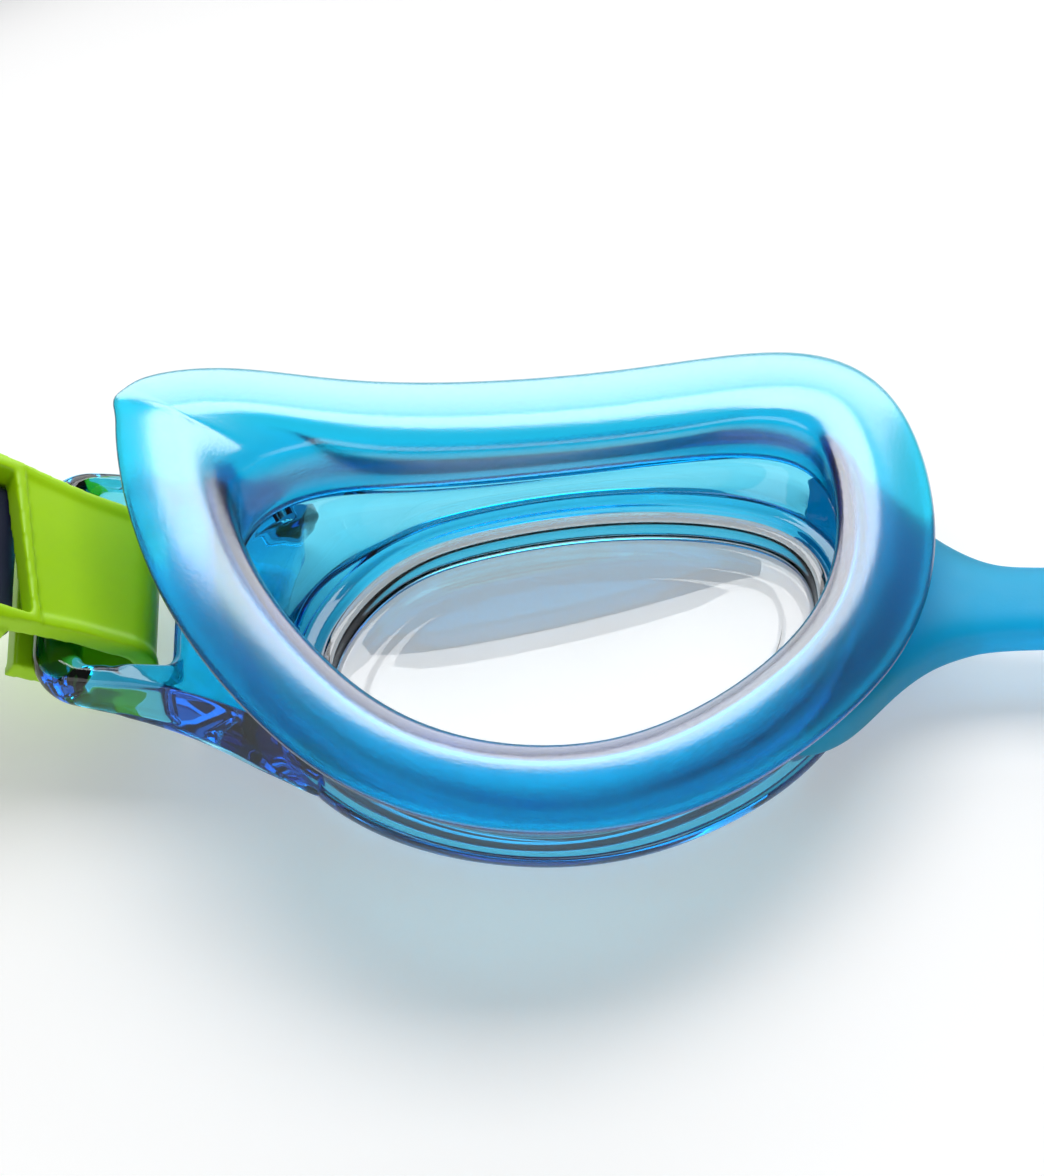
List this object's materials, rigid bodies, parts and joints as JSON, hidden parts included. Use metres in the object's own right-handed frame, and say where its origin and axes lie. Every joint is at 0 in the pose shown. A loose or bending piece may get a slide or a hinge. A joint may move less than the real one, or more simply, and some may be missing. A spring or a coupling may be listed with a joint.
{
  "type": "swim goggles",
  "caption": "Swim goggles with clear lenses in translucent blue eye frames, soft blue face seals and nose bridge, lime strap clips and a navy silicone head strap.",
  "frame": {"origin": "midway between the two eye frames, below the middle of the nose bridge, on the plane that the fronts of the eye frames rest on", "axes": "+Z from the lenses to the wearer's face, +X to the wearer's right, +Y to the brow"},
  "size_m": [0.2388, 0.1138, 0.0317],
  "materials": {
    "frame_blue": "glossy translucent blue polycarbonate",
    "lens_clear": "clear polycarbonate",
    "seal_soft": "satin translucent light blue elastomer",
    "bridge_soft": "matte translucent cyan elastomer",
    "clip_lime": "satin lime green moulded plastic",
    "strap_silicone": "satin navy silicone",
    "keeper_soft": "satin navy silicone"
  },
  "bodies": {
    "frame": {"nose_bridge": "bridge_soft", "head_strap": "strap_silicone", "lens_left": "lens_clear", "lens_right": "lens_clear", "eye_frame_left": "frame_blue", "eye_frame_right": "frame_blue", "face_seal_left": "seal_soft", "face_seal_right": "seal_soft"},
    "clip_left": {"strap_clip_left": "clip_lime", "strap_end_left": "strap_silicone"},
    "tail_left": {"strap_tail_left": "strap_silicone"},
    "keeper_left": {"tail_keeper_left": "keeper_soft"},
    "clip_right": {"strap_clip_right": "clip_lime", "strap_end_right": "strap_silicone"},
    "tail_right": {"strap_tail_right": "strap_silicone"},
    "keeper_right": {"tail_keeper_right": "keeper_soft"}
  },
  "joints": [
    {"name": "clip_left_swing", "type": "hinge", "parent": "frame", "child": "clip_left", "pos_m": [-0.0752, 0, 0.0082], "axis": [0, 1, 0], "range_deg": [-35, 45], "deforming": ["head_strap"]},
    {"name": "tail_left_pull", "type": "slide", "parent": "clip_left", "child": "tail_left", "axis": [-0.866, 0, 0.5], "range_m": [0, 0.005]},
    {"name": "keeper_left_slide", "type": "slide", "parent": "clip_left", "child": "keeper_left", "axis": [-0.866, 0, 0.5], "range_m": [0, 0.005]},
    {"name": "clip_right_swing", "type": "hinge", "parent": "frame", "child": "clip_right", "pos_m": [0.0752, 0, 0.0082], "axis": [0, -1, 0], "range_deg": [-35, 45], "deforming": ["head_strap"]},
    {"name": "tail_right_pull", "type": "slide", "parent": "clip_right", "child": "tail_right", "axis": [0.866, 0, 0.5], "range_m": [0, 0.005]},
    {"name": "keeper_right_slide", "type": "slide", "parent": "clip_right", "child": "keeper_right", "axis": [0.866, 0, 0.5], "range_m": [0, 0.005]}
  ]
}
